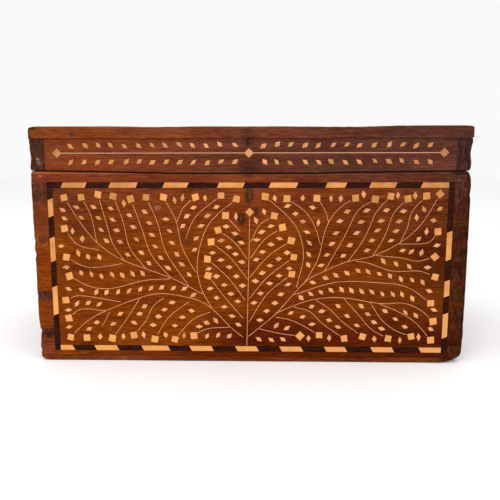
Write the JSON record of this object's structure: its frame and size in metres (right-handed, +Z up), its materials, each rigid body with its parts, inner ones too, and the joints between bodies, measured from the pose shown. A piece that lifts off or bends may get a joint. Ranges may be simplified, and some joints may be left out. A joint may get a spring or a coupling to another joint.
{
  "type": "bone inlay box",
  "caption": "Rectangular hollow dovetailed wooden box with a lift-off lid and a front inlaid with a tiled border and leafy stems, for keepsakes.",
  "frame": {"origin": "middle of the underside of the box, which is also the middle of the footprint of the lid board", "axes": "+X to the right along the length, +Y from the inlaid front to the back, +Z up"},
  "size_m": [0.4018, 0.2618, 0.2202],
  "materials": {
    "rosewood": "satin, waxed",
    "bone": "satin",
    "ebony": "satin"
  },
  "bodies": {
    "root": {"back_board": "rosewood", "bottom_bone_tile_1": "bone", "bottom_bone_tile_2": "bone", "bottom_bone_tile_3": "bone", "bottom_bone_tile_4": "bone", "bottom_bone_tile_5": "bone", "bottom_bone_tile_6": "bone", "bottom_bone_tile_7": "bone", "bottom_bone_tile_8": "bone", "bottom_bone_tile_9": "bone", "bottom_ebony_tile_1": "ebony", "bottom_ebony_tile_2": "ebony", "bottom_ebony_tile_3": "ebony", "bottom_ebony_tile_4": "ebony", "bottom_ebony_tile_5": "ebony", "bottom_ebony_tile_6": "ebony", "bottom_ebony_tile_7": "ebony", "bottom_ebony_tile_8": "ebony", "floor_board": "rosewood", "front_board": "rosewood", "left_board": "rosewood", "left_bone_tile_1": "bone", "left_bone_tile_2": "bone", "left_bone_tile_3": "bone", "left_ebony_tile_1": "ebony", "left_ebony_tile_2": "ebony", "left_ebony_tile_3": "ebony", "left_ebony_tile_4": "ebony", "lid_back_rail": "rosewood", "lid_front_rail": "rosewood", "lid_left_rail": "rosewood", "lid_right_rail": "rosewood", "lid_stem_inlay": "bone", "lid_top_board": "rosewood", "right_board": "rosewood", "right_bone_tile_1": "bone", "right_bone_tile_2": "bone", "right_bone_tile_3": "bone", "right_ebony_tile_1": "ebony", "right_ebony_tile_2": "ebony", "right_ebony_tile_3": "ebony", "right_ebony_tile_4": "ebony", "top_bone_tile_1": "bone", "top_bone_tile_2": "bone", "top_bone_tile_3": "bone", "top_bone_tile_4": "bone", "top_bone_tile_5": "bone", "top_bone_tile_6": "bone", "top_bone_tile_7": "bone", "top_bone_tile_8": "bone", "top_ebony_tile_1": "ebony", "top_ebony_tile_2": "ebony", "top_ebony_tile_3": "ebony", "top_ebony_tile_4": "ebony", "top_ebony_tile_5": "ebony", "top_ebony_tile_6": "ebony", "top_ebony_tile_7": "ebony", "top_ebony_tile_8": "ebony"}
  },
  "joints": []
}
